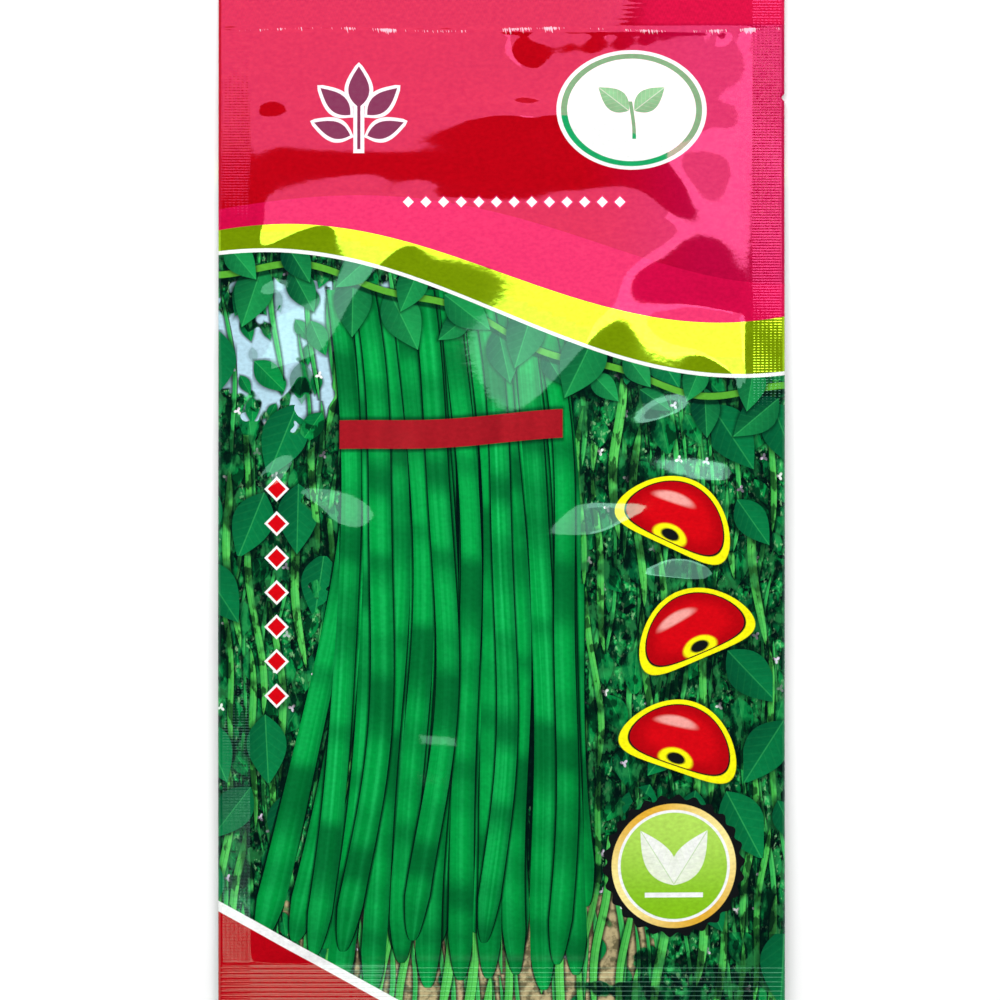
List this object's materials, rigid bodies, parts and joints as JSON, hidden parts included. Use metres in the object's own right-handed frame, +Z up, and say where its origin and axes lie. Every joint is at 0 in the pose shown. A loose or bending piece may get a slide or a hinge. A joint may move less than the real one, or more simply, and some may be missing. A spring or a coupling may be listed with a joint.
{
  "type": "seed packet",
  "caption": "Flat sealed film packet of bean seeds, printed front and back, with crimped seals on all four sides and a tear notch.",
  "frame": {"origin": "on the surface the packet lies on, under the middle of its outline", "axes": "+X across the packet to the edge with the tear notch, +Y along it to the top seal, +Z up out of the printed front"},
  "size_m": [0.135, 0.245, 0.0099],
  "materials": {
    "front_print": "glossy laminated film, printed in red, yellow and leaf green",
    "back_print": "glossy laminated film, printed in red, green and white",
    "seed_coat": "smooth satin brown seed coat with a pale scar"
  },
  "bodies": {
    "root": {"front_film": "front_print", "back_film": "back_print", "seed_01": "seed_coat", "seed_02": "seed_coat", "seed_03": "seed_coat", "seed_04": "seed_coat", "seed_05": "seed_coat", "seed_06": "seed_coat", "seed_07": "seed_coat", "seed_08": "seed_coat", "seed_09": "seed_coat", "seed_10": "seed_coat", "seed_11": "seed_coat", "seed_12": "seed_coat", "seed_13": "seed_coat", "seed_14": "seed_coat", "seed_15": "seed_coat", "seed_16": "seed_coat", "seed_17": "seed_coat", "seed_18": "seed_coat", "seed_19": "seed_coat", "seed_20": "seed_coat", "seed_21": "seed_coat", "seed_22": "seed_coat", "seed_23": "seed_coat", "seed_24": "seed_coat", "seed_25": "seed_coat", "seed_26": "seed_coat", "seed_27": "seed_coat", "seed_28": "seed_coat", "seed_29": "seed_coat", "seed_30": "seed_coat", "seed_31": "seed_coat", "seed_32": "seed_coat", "seed_33": "seed_coat", "seed_34": "seed_coat", "seed_35": "seed_coat", "seed_36": "seed_coat", "seed_37": "seed_coat", "seed_38": "seed_coat", "seed_39": "seed_coat", "seed_40": "seed_coat", "seed_41": "seed_coat", "seed_42": "seed_coat", "seed_43": "seed_coat", "seed_44": "seed_coat", "seed_45": "seed_coat", "seed_46": "seed_coat", "seed_47": "seed_coat", "seed_48": "seed_coat"}
  },
  "joints": []
}
